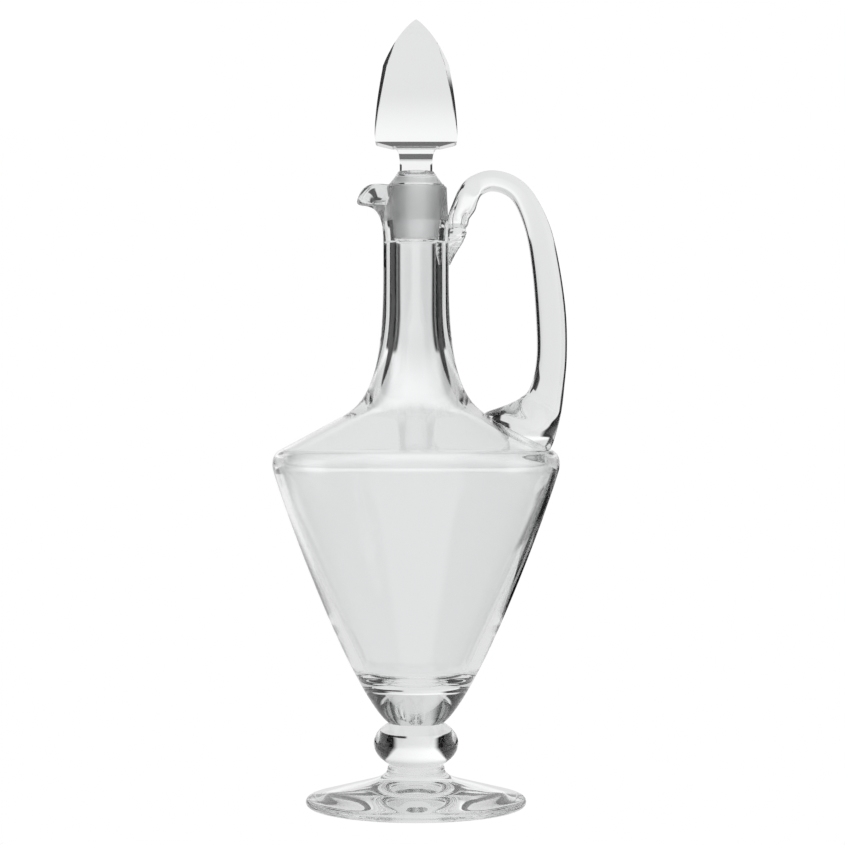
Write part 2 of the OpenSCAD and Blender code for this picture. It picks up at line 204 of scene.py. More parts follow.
def makeGrain(look):
    # the grain that grinding leaves, and how rough it is from spot to spot
    group, given, result = newGroup("groundGrain", {"Height": "Float", "Size": "Float", "Roughness": "Float"},
                                    {"Normal": "Vector", "Roughness": "Float"})
    noise, place = noiseBumps(group, given, result, "Size")
    noise.inputs["Detail"].default_value = look["grainDetail"]
    group.links.new(place, noise.inputs["Vector"])
    spots = group.nodes.new("ShaderNodeMapRange")
    spots.inputs["To Min"].default_value = 1 - look["uneven"]
    spots.inputs["To Max"].default_value = 1 + look["uneven"]
    group.links.new(noise.outputs["Fac"], spots.inputs["Value"])
    rough = mathNode(group, "MULTIPLY", spots.outputs["Result"], given.outputs["Roughness"])
    group.links.new(rough, result.inputs["Roughness"])
    return group


def newMaterial(name):
    material = bpy.data.materials.new(name)
    material.use_nodes = True
    return material, material.node_tree.nodes, material.node_tree.links


def glassShader(nodes, tint, roughness):
    shader = nodes["Principled BSDF"]
    shader.inputs["Base Color"].default_value = (*tint, 1)
    shader.inputs["Transmission Weight"].default_value = 1
    shader.inputs["IOR"].default_value = glassLook["ior"]
    shader.inputs["Roughness"].default_value = roughness
    return shader


def placeGroup(nodes, group, values):
    placed = nodes.new("ShaderNodeGroup")
    placed.node_tree = group
    for title, value in values.items():
        placed.inputs[title].default_value = value
    return placed.outputs


def clearGlass(name, waves):
    material, nodes, links = newMaterial(name)
    shader = glassShader(nodes, glassLook["tint"], 0)
    height, spacing = waveLook[waves]
    given = placeGroup(nodes, handmadeWaves, {"Height": height, "Spacing": spacing})
    links.new(given["Normal"], shader.inputs["Normal"])
    return material


def groundGlass(name, look):
    material, nodes, links = newMaterial(name)
    shader = glassShader(nodes, look["haze"], look["roughness"])
    given = placeGroup(nodes, groundGrain, {"Height": look["grainHeight"], "Size": look["grainSize"],
                                            "Roughness": look["roughness"]})
    links.new(given["Normal"], shader.inputs["Normal"])
    links.new(given["Roughness"], shader.inputs["Roughness"])
    return material


def weldSeam(name):
    # faces where two pieces of glass are melted together show nothing
    material, nodes, links = newMaterial(name)
    nodes.remove(nodes["Principled BSDF"])
    shader = nodes.new("ShaderNodeBsdfTransparent")
    links.new(shader.outputs["BSDF"], nodes["Material Output"].inputs["Surface"])
    return material


handmadeWaves, groundGrain = makeWaves(waveLook), makeGrain(groundLook)
blownGlass = clearGlass("blownGlass", "blown")
pressedGlass = clearGlass("pressedGlass", "pressed")
cutGlass = clearGlass("cutGlass", "cut")
frosted = groundGlass("groundGlass", groundLook)
welded = weldSeam("weldSeam")
print("materials done")


# foot, turned, with a hollow under it
footSizes = {
    "diameter": 99, "rimThickness": 3.8, "slope": 15, "postDiameter": 25.6, "filletReach": 11,
    "hollow": 5.5, "ringWidth": 3, "postSkirt": 1.6, "weldDiameter": 23, "steps": 192,
}
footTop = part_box("foot")[1].z / mm


def footProfile(s):
    top = footTop
    rimRound = s["rimThickness"] / 2
    footR = s["diameter"] / 2
    rimMid = (footR - rimRound, rimRound)
    slope = math.radians(s["slope"])
    slopeTop = (rimMid[0] + rimRound * math.sin(slope), rimMid[1] + rimRound * math.cos(slope))
    slopeZ = lambda r: slopeTop[1] + (slopeTop[0] - r) * math.tan(slope)
    filletR = s["postDiameter"] / 2 + s["filletReach"]
    fillet = (filletR, slopeZ(filletR))
    bulge = (s["postDiameter"] / 2, top - s["postSkirt"])
    weld = (s["weldDiameter"] / 2, top)
    inR = footR - rimRound - s["ringWidth"]
    return (
        [(0, s["hollow"])]
        + curve((0, s["hollow"]), (inR * 0.4, s["hollow"]), (inR * 0.75, 0.8), (inR, 0), 40)
        + arc(rimMid, rimRound, -90, 90 - s["slope"], 20)
        + line(slopeTop, fillet, 16)
        + curve(fillet, (filletR - 7, slopeZ(filletR - 7)), (bulge[0] + 0.2, bulge[1] - 3.2), bulge, 24)
        + curve(bulge, (bulge[0], top - 0.7), (mix(weld[0], bulge[0], 0.6), top), weld, 10)
        + line(weld, (0, top), 3)
    )


footMesh = turn(footProfile(footSizes), footSizes["steps"])
for face in footMesh.faces:
    if isLevel(face, footTop):
        face.material_index = 1
finishPiece(footMesh, "turnedFoot", "foot", [pressedGlass, welded])


# knop, a pressed ball between two welds
knopSizes = {"diameter": 38, "ballHeight": 24, "lowerWeld": 23, "upperWeld": 24.6, "rows": 56, "steps": 128}
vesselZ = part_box("body")[0].z / mm


def knopProfile(s):
    radius, half = s["diameter"] / 2, s["ballHeight"] / 2
    middle = footTop + half * math.sqrt(1 - (s["lowerWeld"] / s["diameter"]) ** 2)
    start = -math.acos(s["lowerWeld"] / s["diameter"])
    end = math.acos(s["upperWeld"] / s["diameter"])
    side = []
    for i in range(s["rows"] + 1):
        a = mix(start, end, i / s["rows"])
        side.append((radius * math.cos(a), middle + half * math.sin(a)))
    side[0] = (side[0][0], footTop)
    side[-1] = (side[-1][0], vesselZ)
    return [(0, footTop), (side[0][0] / 2, footTop)] + side + [(side[-1][0] / 2, vesselZ), (0, vesselZ)]


knopMesh = turn(knopProfile(knopSizes), knopSizes["steps"])
for face in knopMesh.faces:
    if isLevel(face, footTop) or isLevel(face, vesselZ):
        face.material_index = 1
finishPiece(knopMesh, "pressedKnop", "knop", [pressedGlass, welded])


# vessel: bowl, shoulder and neck in one, with the spout pulled out of the rim. In the outlines, the small
# numbers are how far the pull points of a curve stand off its ends
vesselSizes = {
    "height": 241, "hipHeight": 117, "diameter": 129.6, "shoulderSlope": 28.3, "flareRadius": 33,
    "neckLength": 39, "neckDiameter": 29.6, "rimDiameter": 27.8, "wall": 2.6, "bore": 18.2,
    "baseThickness": 18.5, "weldDiameter": 24.6, "floorRadius": 20.5, "steps": 264,
}
spoutSizes = {
    "reach": 12.6, "spread": 23.5, "droop": 6.2, "depth": 24, "wall": 1.9,
    "lipRise": 1.6, "tipSpread": 9.7, "lipRound": 0.9,
}
socketSizes = {"topRadius": 12.7, "endRadius": 9.75, "length": 24.2, "gap": 0.08}

rimZ = vesselZ + vesselSizes["height"]
hipZ = vesselZ + vesselSizes["hipHeight"]
floorZ = vesselZ + vesselSizes["baseThickness"]
plugEndZ = rimZ - socketSizes["length"]
neckR, rimR = vesselSizes["neckDiameter"] / 2, vesselSizes["rimDiameter"] / 2
boreR = vesselSizes["bore"] / 2
slopeTan = math.tan(math.radians(vesselSizes["shoulderSlope"]))
hipR = vesselSizes["diameter"] / 2
hipLow, hipTop = (hipR - 0.9, hipZ - 4.5), (hipR - 3.3, hipZ + 5.5)
spoutZ = rimZ - spoutSizes["depth"]
outerRows, lipRows, innerRows = 26, 12, 18
frostSlot, weldSlot = 1, 2


def shoulderZ(r):
    return hipTop[1] + (hipTop[0] - r) * slopeTan


def socketR(z):
    s = socketSizes
    return s["endRadius"] + (z - plugEndZ) * (s["topRadius"] - s["endRadius"]) / s["length"] + s["gap"]


def bump(angle, spread):
    return math.exp(-(angle / spread) ** 2)


def lipAt(angle):
    s = spoutSizes
    r = rimR + s["reach"] * bump(angle, s["spread"])
    z = (rimZ - s["lipRound"] + s["lipRise"] * bump(angle, s["spread"] * 1.1)
         - (s["droop"] + s["lipRise"] - s["lipRound"]) * bump(angle, s["tipSpread"]))
    return (r, z)


def troughAt(angle):
    s = spoutSizes
    w = bump(angle, s["spread"])
    lip = lipAt(angle)
    r = mix(socketR(rimZ) - 0.6, lip[0] - s["wall"], math.sqrt(w) if w > 0.0004 else 0)
    return (max(r, socketR(lip[1])), lip[1])


def spoutPoint(zone, t, angle):
    # a point on the outside, over the lip or on the inside, at an angle from the spout
    w = bump(angle, spoutSizes["spread"])
    lip, trough = lipAt(angle), troughAt(angle)
    if zone == "outside":
        start = (neckR, spoutZ)
        pull = (neckR, mix(rimZ - 16, rimZ - 2, w))
        end = mixPoint((mix(neckR, rimR, 0.8), rimZ - 8), (lip[0] + 1, lip[1] - 5.8), w)
        return onCurve(start, pull, end, lip, (t + 1) / outerRows)
    if zone == "lip":
        a = math.pi * (t + 1) / (lipRows + 1)
        half = (lip[0] - trough[0]) / 2
        return (lip[0] - half + half * math.cos(a), lip[1] + spoutSizes["lipRound"] * math.sin(a))
    low = (socketR(rimZ - 10) - 0.6, rimZ - 10)
    bend = (trough[0] - mix(0.2, 3.6, w), trough[1] - mix(2.6, 1.9, w))
    r, z = onCurve(trough, bend, (low[0] + 0.4, low[1] + 4), low, t / innerRows)
    return (max(r, socketR(z)), z)


def vesselOutside():
    start = (vesselSizes["weldDiameter"] / 2, vesselZ)
    flareR = vesselSizes["flareRadius"]
    flareLow = (flareR, shoulderZ(flareR))
    flarePull = (flareR - 13.3, shoulderZ(flareR - 13.3))
    flareTop = (neckR, rimZ - vesselSizes["neckLength"])
    return (
        [(0, vesselZ), (start[0] / 2, vesselZ), start]
        + curve(start, (start[0] + 14.8, start[1] + 11.2), (hipLow[0] - 9, hipLow[1] - 29.2), hipLow, 56)
        + curve(hipLow, (hipR + 0.4, hipZ - 0.3), (hipTop[0] + 3, hipTop[1] - 3 * slopeTan), hipTop, 16)
        + line(hipTop, flareLow, 24)
        + curve(flareLow, flarePull, (neckR, mix(flarePull[1], flareTop[1], 0.29)), flareTop, 40)
        + line(flareTop, (neckR, spoutZ), 10)
    )


def vesselInside():
    wall = vesselSizes["wall"]
    floorR = vesselSizes["floorRadius"]
    sideLow, sideTop = (floorR + 4, floorZ + 8), (hipLow[0] - wall, hipLow[1])
    drop = wall / math.cos(math.radians(vesselSizes["shoulderSlope"]))
    inShoulder = (hipTop[0] - 3, hipTop[1] - drop + 3 * slopeTan)
    inZ = lambda r: shoulderZ(r) - drop
    lowR = vesselSizes["flareRadius"] - 2
    low = (lowR, inZ(lowR))
    top = (boreR, rimZ - vesselSizes["neckLength"] - 15)
    start = (0, floorZ)
    return (
        [start]
        + curve(start, (floorR * 0.7, floorZ), (floorR + 0.6, floorZ + 1.2), sideLow, 26)
        + curve(sideLow, (sideLow[0] + 6.2, sideLow[1] + 12.4),
                (sideTop[0] - 9, sideTop[1] - 33.2), sideTop, 40)
        + curve(sideTop, (sideTop[0] + 1.1, sideTop[1] + 3.6),
                (inShoulder[0] + 2.8, inShoulder[1] - 2.8 * slopeTan), inShoulder, 14)
        + line(inShoulder, low, 20)
        + curve(low, (low[0] - 13, inZ(low[0] - 13)), (boreR, mix(low[1], top[1], 0.42)), top, 36)
        + line(top, (boreR, plugEndZ - 1.2), 8)
        + [(socketR(plugEndZ), plugEndZ - 0.4)]
        + line((socketR(plugEndZ), plugEndZ - 0.4), (socketR(rimZ - 10), rimZ - 10), 8)
    )


outside, inside = vesselOutside(), vesselInside()
zones = ([("outside", t) for t in range(outerRows)] + [("lip", t) for t in range(lipRows)]
         + [("inside", t) for t in range(innerRows)])
spoutRow = {len(outside) + i: zone for i, zone in enumerate(zones)}
farSide = [spoutPoint(zone, t, 180) for zone, t in zones]
vesselMesh = turn(outside + farSide + inside[::-1], vesselSizes["steps"])
rowTag = vesselMesh.verts.layers.int["row"]
for vert in vesselMesh.verts:
    if vert[rowTag] in spoutRow:
        around = math.atan2(vert.co.y, vert.co.x)
        fromSpout = abs(math.degrees(math.atan2(vert.co.y, -vert.co.x)))
        r, z = spoutPoint(*spoutRow[vert[rowTag]], fromSpout)
        vert.co = (r * math.cos(around), r * math.sin(around), z)
for face in vesselMesh.faces:
    middle = face.calc_center_median()
    reach = math.hypot(middle.x, middle.y)
    if isLevel(face, vesselZ):
        face.material_index = weldSlot
    elif middle.z > plugEndZ - 0.5 and reach < socketR(middle.z) + 0.02:
        face.material_index = frostSlot


# stopper: a turned plug and collar, and above them a shank and a lancet head that are cut flat
stopperSizes = {
    "waistWidth": 14.6, "waistThickness": 8.8, "collarHeight": 6.6, "shankHeight": 12,
    "headWidth": 37, "headThickness": 14, "headHeight": 56, "turnHeight": 34.5, "turnWidth": 29.8,
    "cornerBevel": 1.8, "bevelReach": 0.82, "proud": 0.7, "ledge": 0.8, "steps": 144, "frostFrom": 1.2,
}
plugTopZ = rimZ + stopperSizes["proud"]
collarZ = plugTopZ + stopperSizes["collarHeight"]
headZ = collarZ + stopperSizes["shankHeight"]
bevelZ = headZ + stopperSizes["headHeight"] * stopperSizes["bevelReach"]
tipZ = headZ + stopperSizes["headHeight"]


def plugR(z):
    return socketR(z) - socketSizes["gap"]


def plugProfile(s):
    plugEdge = (plugR(plugTopZ), plugTopZ)
    collarTop = (s["waistWidth"] / 2 + s["ledge"], collarZ - 0.6)
    endR = socketSizes["endRadius"]
    return (
        [(0, plugEndZ), (endR / 2, plugEndZ), (endR - 0.5, plugEndZ), (plugR(plugEndZ + 0.5), plugEndZ + 0.5)]
        + line((plugR(plugEndZ + 0.5), plugEndZ + 0.5), plugEdge, 14)
        + curve(plugEdge, (plugEdge[0] - 1.7, plugEdge[1] + 1.2),
                (collarTop[0] + 1, collarTop[1] - 1.6), collarTop, 16)
    )


def broadOutline(s):
    # half of the broad faces' outline, from the collar up to the point
    waist = (s["waistWidth"] / 2, collarZ + 2.2)
    headR = s["headWidth"] / 2
    under, low = (headR * 0.57, headZ - 1.9), (headR, headZ + 2)
    bend, tip = (s["turnWidth"] / 2, headZ + s["turnHeight"]), (0.1, tipZ)
    return (
        [(waist[0], collarZ - 0.6), (waist[0], collarZ + 0.8), waist]
        + curve(waist, (waist[0], waist[1] + 4.2), (under[0] - 2.4, under[1] + 1.4), under, 18)
        + line(under, (headR - 1.2, headZ - 0.2), 6)
        + [(headR - 0.3, headZ + 0.4), low]
        + curve(low, (low[0] + 0.05, low[1] + s["turnHeight"] * 0.42),
                (bend[0] + 0.35, bend[1] - s["turnHeight"] * 0.1), bend, 36)
        + curve(bend, (bend[0] - 2.6, bend[1] + 7.4), (tip[0] + 5, tipZ - 3), tip, 40)
    )


def sideOutline(s):
    # half of the outline from the side: the waist, two bevels with a step between them, the faces
    waistHalf, headHalf = s["waistThickness"] / 2, s["headThickness"] / 2
    stepHalf = mix(waistHalf, headHalf, 0.5)
    low, tip = (headHalf, headZ + 4), (0.4, tipZ)
    return (
        [(waistHalf, collarZ - 0.6), (waistHalf, headZ - 7.6)]
        + [(stepHalf, headZ - 5), (stepHalf, headZ - 2.4), (headHalf, headZ + 0.2), low]
        + curve(low, (low[0], low[1] + s["headHeight"] * 0.4), (4.6, tipZ - s["headHeight"] * 0.22), tip, 60)
    )


def outlineAt(outline, z):
    for a, b in zip(outline, outline[1:]):
        if z <= b[1]:
            return mix(a[0], b[0], (z - a[1]) / (b[1] - a[1]))
    return outline[-1][0]


def bevelAt(s, z):
    # the bevels on the upright corners are widest where the sides turn in
    low, turnZ = headZ + 2, headZ + s["turnHeight"]
    share = (z - low) / (turnZ - low) if z < turnZ else 1 - (z - turnZ) / (bevelZ - turnZ)
    return s["cornerBevel"] * math.sin(math.pi / 2 * share) - 0.1


def cornerOutline(s, broad, side, count=24):
    # the sum of half the width and half the thickness that the corner bevels leave
    waistSum = (s["waistWidth"] + s["waistThickness"]) / 2 - 0.9
    heights = [mix(headZ + 2, bevelZ, i / count) for i in range(count + 1)]
    return (
        [(waistSum, collarZ - 1.5), (waistSum, collarZ + 2.2)]
        + [(s["headWidth"], headZ - 7.6), (s["headWidth"], headZ)]
        + [(outlineAt(broad, z) + outlineAt(side, z) - bevelAt(s, z), z) for z in heights]
        + [(s["headThickness"], bevelZ + 1), (s["headThickness"] / 2, tipZ)]
    )


def withRows(profile, heights):
    # the profile with a further point at each height that it passes
    rows = profile[:1]
    for a, b in zip(profile, profile[1:]):
        passed = sorted(z for z in heights if a[1] + 0.02 < z < b[1] - 0.02)
        rows += [mixPoint(a, b, (z - a[1]) / (b[1] - a[1])) for z in passed] + [b]
    return rows


def cutPoint(step, wide, deep, corner):
    # a point round one quarter of a cut section, with steps kept for its upright bevel
    quarter = stopperSizes["steps"] // 4
    bevelFrom, bevelTo = quarter // 3, quarter // 3 + 4
    corner = min(corner, wide + deep)
    if step <= bevelFrom:
        return (wide, (corner - wide) * step / bevelFrom)
    if step <= bevelTo:
        t = (step - bevelFrom) / (bevelTo - bevelFrom)
        return (mix(wide, corner - deep, t), mix(corner - wide, deep, t))
    return ((corner - deep) * (quarter - step) / (quarter - bevelTo), deep)


def makeStopper(s):
    turned, side, broad = plugProfile(s), sideOutline(s), broadOutline(s)
    corners = cornerOutline(s, broad, side)
    cut = withRows(broad, [z for r, z in side[:6] + corners[:4]])
    bm = turn(turned + cut + [(0, tipZ)], s["steps"])
    rowTag = bm.verts.layers.int["row"]
    for vert in bm.verts:
        row = vert[rowTag] - len(turned)
        if not 0 <= row < len(cut):
            continue
        angle = math.degrees(math.atan2(abs(vert.co.y), abs(vert.co.x)))
        z = vert.co.z
        wide = cut[row][0]
        x, y = cutPoint(round(angle / 360 * s["steps"]), wide, outlineAt(side, z), outlineAt(corners, z))
        vert.co = (math.copysign(x, vert.co.x), math.copysign(y, vert.co.y), z)
    bmesh.ops.remove_doubles(bm, verts=bm.verts, dist=oneSpot)
    for face in bm.faces:
        middle = face.calc_center_median()
        if plugEndZ + 0.4 < middle.z < rimZ - s["frostFrom"]:
            face.material_index = frostSlot
    return bm


finishPiece(makeStopper(stopperSizes), "lancetStopper", "stopper", [cutGlass, frosted], 12)


# handle, lofted through its sections and pressed on the vessel
handleSizes = {
    "gripX": 61.2, "gripThickness": 13.4, "gripWidth": 13, "gripSquare": 5,
    "archThickness": 9, "archRise": 7.2, "padX": 46, "padLength": 34, "padWidth": 25, "neckPadWidth": 13,
    "foldDepth": 0.8, "foldCount": 11, "crimpDepth": 1.4, "notchDepth": 0.2, "notchSpacing": 2.1,
}


def handleStations(s):
    # x, z, tilt of the section, thickness, width, and the shares of the square section, folds and notches
    gripX, gripT, gripW = s["gripX"], s["gripThickness"], s["gripWidth"]
    padX, padL, padW = s["padX"], s["padLength"], s["padWidth"]
    archT, neckW, crimp = s["archThickness"], s["neckPadWidth"], s["crimpDepth"]
    padZ = shoulderZ(padX)
    archZ = rimZ + s["archRise"] - archT / 2
    slope = vesselSizes["shoulderSlope"]
    return [
        (padX - 2.2, padZ - 3.4, -slope, padL - 1, padW - 1, 0, 0, 0),
        (padX + 0.3, padZ + 1.4, -slope + 3, padL - 0.6, padW, 0.05, 0, 0),
        (mix(padX, gripX, 0.365), padZ + 6.9, -21,
         mix(padL, gripT, 0.38), mix(padW, gripW, 0.4), 0.3, 0, 0),
        (mix(padX, gripX, 0.655), padZ + 12.5, -15,
         mix(padL, gripT, 0.7), mix(padW, gripW, 0.78), 0.7, 0, 0),
        (gripX - 2.2, padZ + 19.6, -6, gripT + 1.6, gripW + 0.6, 0.9, 0, 0),
        (gripX - 0.2, mix(padZ, archZ, 0.3), 0, gripT, gripW, 1, 0, 0),
        (gripX - 0.6, mix(padZ, archZ, 0.47), 3, gripT, gripW, 1, 0, 0),
        (gripX - 3, mix(padZ, archZ, 0.66), 9, gripT - 1.2, gripW - 0.4, 1, 0, 0),
        (gripX - 6.4, archZ - 21.8, 17, mix(archT, gripT, 0.45), gripW - 0.8, 1, 0, 0),
        (gripX - 12.4, archZ - 8.4, 40, archT + 0.5, gripW - 1.2, 1, 0, 0),
        (gripX - 18.8, archZ - 2.2, 66, archT, gripW - 1.4, 1, 0, 0),
        (mix(neckR, gripX, 0.42), archZ, 90, archT, gripW - 1.6, 1, 0, 0),
        (mix(neckR, gripX, 0.28), archZ - 1.9, 118, archT + 0.4, gripW - 1.4, 1, 0, 0),
        (neckR + 9.4, archZ - 5.4, 138, archT + 1.4, mix(neckW, gripW, 0.6), 0.9, 0, 0),
        (neckR + 6.8, archZ - 11.4, 158, archT + 1.6, neckW, 0.8, 0.4, 0),
        (neckR + 4.4, rimZ - 13.8, 175, archT + 0.8, neckW, 0.6, 1, 0),
        (neckR + 3.9, rimZ - 16.8, 178, archT + 0.4, neckW - 0.2, 0.5, 1, 0),
        (neckR + 3.6, rimZ - 18.8, 180, archT + 0.4 - crimp, neckW - 0.4 - crimp, 0.3, 0.5, 0),
        (neckR + 3.3, rimZ - 21, 181, archT + 0.2, neckW - 0.6, 0.2, 0.2, 0.8),
        (neckR + 2.4, rimZ - 25.4, 184, archT - 1.4, neckW - 1.6, 0, 0.2, 1),
        (neckR + 0.9, rimZ - 30.6, 186, archT - 5, neckW - 5, 0, 0.2, 0.6),
        (neckR - 0.3, rimZ - 35.2, 186, 1.6, 3, 0, 0, 0),
    ]


def glide(before, start, end, after, t):
    # a station between two others, on a smooth run through the ones before and after them
    station = []
    for a, b, c, d in zip(before, start, end, after):
        square, cube = 2 * a - 5 * b + 4 * c - d, 3 * b - a - 3 * c + d
        station.append(0.5 * (2 * b + (c - a) * t + square * t * t + cube * t ** 3))
    return station


def creased(angle, z, folds, notches, s):
    # how far a section is drawn in between two folds, and between two notches of the tail
    fold = 2 * s["foldDepth"] / s["neckPadWidth"] * folds * (1 - abs(math.sin(angle * s["foldCount"] / 2)))
    wave = abs(math.sin(math.pi * z / s["notchSpacing"] + angle))
    return 1 - fold - 2 * s["notchDepth"] / s["archThickness"] * notches * (1 - wave)


def signedPower(value, power):
    return math.copysign(abs(value) ** power, value)


def handleRod(s, sides=88, coarse=8, fine=16):
    # bridges the sections into a rod, with more of them where the tail has notches
    stations = handleStations(s)
    last = len(stations) - 1
    sections = []
    for i in range(last):
        steps = fine if stations[i + 1][-1] or stations[i][-1] else coarse
        around = (stations[max(i - 1, 0)], stations[i], stations[i + 1], stations[min(i + 2, last)])
        sections += [glide(*around, k / steps) for k in range(steps)]
    sections.append(stations[last])
    bm = bmesh.new()
    before = None
    for i, (x, z, tilt, thickness, width, square, folds, notches) in enumerate(sections):
        ends = i in (0, len(sections) - 1)
        ring = bmesh.ops.create_circle(bm, cap_ends=ends, segments=sides, radius=0.5)["verts"]
        roundness = 2 / mix(2, s["gripSquare"], square)
        for vert in ring:
            angle = math.atan2(vert.co.y, vert.co.x)
            half = creased(angle, z, folds, notches, s) / 2
            u, v = signedPower(math.cos(angle), roundness), signedPower(math.sin(angle), roundness)
            vert.co = (half * u, half * v, 0)
        place = Matrix.Translation((x, 0, z)) @ Matrix.Rotation(math.radians(-tilt), 4, "Y")
        bmesh.ops.transform(bm, matrix=place @ Matrix.Diagonal((thickness, width, 1, 1)), verts=ring)
        ringSet = set(ring)
        edges = list({e for v in ring for e in v.link_edges if e.other_vert(v) in ringSet})
        if before:
            bmesh.ops.bridge_loops(bm, edges=before + edges)
        before = edges
    bmesh.ops.recalc_face_normals(bm, faces=bm.faces)
    return bm


def asObject(bm, name):
    mesh = bpy.data.meshes.new(name)
    bm.to_mesh(mesh)
    bm.free()
    made = bpy.data.objects.new(name, mesh)
    scene.collection.objects.link(made)
    return made


def behindWall(tree, point):
    found, normal, _, _ = tree.find_nearest(point)
    return (point - found).dot(normal) < 0


def insideRod(tree, point):
    # an odd number of walls ahead, in a direction along no edge, means that the point is inside
    ahead, crossed = Vector((1, 0.013, 0.007)).normalized(), 0
    while True:
        found = tree.ray_cast(point, ahead)[0]
        if found is None:
            return crossed % 2 == 1
        point, crossed = found + ahead * oneLevel, crossed + 1


def pressTogether(vesselMesh, rodMesh):
    # cuts the outline of the hot rod into the vessel's outside, and shares the faces under it. The faces
    # are tagged 1 and 2 where the rod is inside and outside the wall, and 3 where it covers the vessel
    outer = vesselMesh.copy()
    wallTag = outer.verts.layers.int["row"]
    inner = [f for f in outer.faces if any(v[wallTag] >= len(outside) + outerRows for v in f.verts)]
    bmesh.ops.delete(outer, geom=inner, context="FACES")
    outerTree, rodTree = BVHTree.FromBMesh(outer), BVHTree.FromBMesh(rodMesh)
    outer.free()
    rodCopy = bpy.data.meshes.new("rod")
    rodMesh.to_mesh(rodCopy)
    count = len(vesselMesh.faces)
    pieceTag = vesselMesh.faces.layers.int.new("rod")
    vesselMesh.from_mesh(rodCopy)
    for i, face in enumerate(vesselMesh.faces):
        face[pieceTag] = i >= count
    both = asObject(vesselMesh, "both")
    for other in bpy.context.selected_objects:
        other.select_set(False)
    both.select_set(True)
    bpy.context.view_layer.objects.active = both
    bpy.ops.object.mode_set(mode="EDIT")
    editMesh = bmesh.from_edit_mesh(both.data)
    pieceTag = editMesh.faces.layers.int["rod"]
    for face in editMesh.faces:
        face.select_set(face[pieceTag] == 1)
    bmesh.update_edit_mesh(both.data)
    bpy.ops.mesh.intersect(mode="SELECT_UNSELECT", separate_mode="NONE", solver="EXACT")
    bpy.ops.object.mode_set(mode="OBJECT")
    joined = bmesh.new()
    joined.from_mesh(both.data)
    bpy.data.objects.remove(both)
    pieceTag = joined.faces.layers.int["rod"]
    for face in joined.faces:
        middle = face.calc_center_median()
        outward = face.normal.x * middle.x + face.normal.y * middle.y > 0
        if face[pieceTag]:
            face[pieceTag] = 1 if behindWall(outerTree, middle) else 2
        elif middle.x > neckR - 1 and outward and insideRod(rodTree, middle):
            face[pieceTag] = 3
            face.material_index = weldSlot
    pressed = joined.copy()
    copyTag = pressed.faces.layers.int["rod"]
    bmesh.ops.delete(pressed, geom=[f for f in pressed.faces if f[copyTag] < 2], context="FACES")
    bmesh.ops.reverse_faces(pressed, faces=[f for f in pressed.faces if f[copyTag] == 3])
    bmesh.ops.delete(joined, geom=[f for f in joined.faces if f[pieceTag] in (1, 2)], context="FACES")
    return joined, pressed


vesselMesh, handleMesh = pressTogether(vesselMesh, handleRod(handleSizes))
finishPiece(vesselMesh, "blownVessel", "body", [blownGlass, frosted, welded])
finishPiece(handleMesh, "appliedHandle", "handle", [pressedGlass, frosted, welded])


# stage: a pale table in a white room. The lens sees the room evenly white, and the glass sees wide soft
# panels behind and in front, a small one at each side, unlit gaps between them and a soft one overhead
studioLook = {               # turns in degrees, heights as the sine of the angle above level
    "tableRadius": 0.32, "tableDrop": 0.0003, "tableLight": 0.76,
    "panelHalf": 41, "panelSoft": 4, "gapLight": 0.01,
    "waistHalf": 21, "waistAt": 0.05, "waistSpan": (0.055, 0.17),
    "acrossLight": (1, 0.7), "frontSpan": (-0.6, 0), "frontLight": (0.88, 1),
    "levelSpan": (0.06, 0.14), "levelLight": (0.93, 1.15), "upperSpan": (0.17, 0.27), "upperLight": (1, 0.7),
    "sideHalf": 12, "sideLight": 0.9, "sideSpan": (0.3, 0.35),
    "cardFrom": (20, 9), "cardBend": (-0.22, -0.14), "cardTo": 38, "cardSoft": 2.5,
    "cardFoot": (-0.46, -0.42), "cardHead": (-0.04, -0.02), "cardLight": 0.02,
    "topSpan": (0.86, 0.95), "topLight": 0.6, "lowSpan": (-0.3, -0.17),
    "flagSize": (0.06, 0.016), "flagPlace": (0, 0.3, 0.408), "flagLight": 0.12,
}


def rangeNode(tree, value, span, result):
    # runs softly from the first result to the second while the value crosses its span
    node = tree.nodes.new("ShaderNodeMapRange")
    node.interpolation_type = "SMOOTHSTEP"
    for title, number in zip(("From Min", "From Max", "To Min", "To Max"), (*span, *result)):
        node.inputs[title].default_value = number
    tree.links.new(value, node.inputs["Value"])
    return node.outputs["Result"]


def seenByLens(tree):
    return tree.nodes.new("ShaderNodeLightPath").outputs["Is Camera Ray"]


def makeTable(s):
    bm = bmesh.new()
    bmesh.ops.create_circle(bm, cap_ends=True, segments=96, radius=s["tableRadius"])
    bmesh.ops.translate(bm, vec=(0, 0, -s["tableDrop"]), verts=bm.verts)
    table = asObject(bm, "paleTable")
    material, nodes, links = newMaterial("paleTable")
    nodes.remove(nodes["Principled BSDF"])
    shader = nodes.new("ShaderNodeEmission")
    tree = material.node_tree
    links.new(mathNode(tree, "MAXIMUM", seenByLens(tree), s["tableLight"]), shader.inputs["Strength"])
    links.new(shader.outputs["Emission"], nodes["Material Output"].inputs["Surface"])
    table.data.materials.append(material)


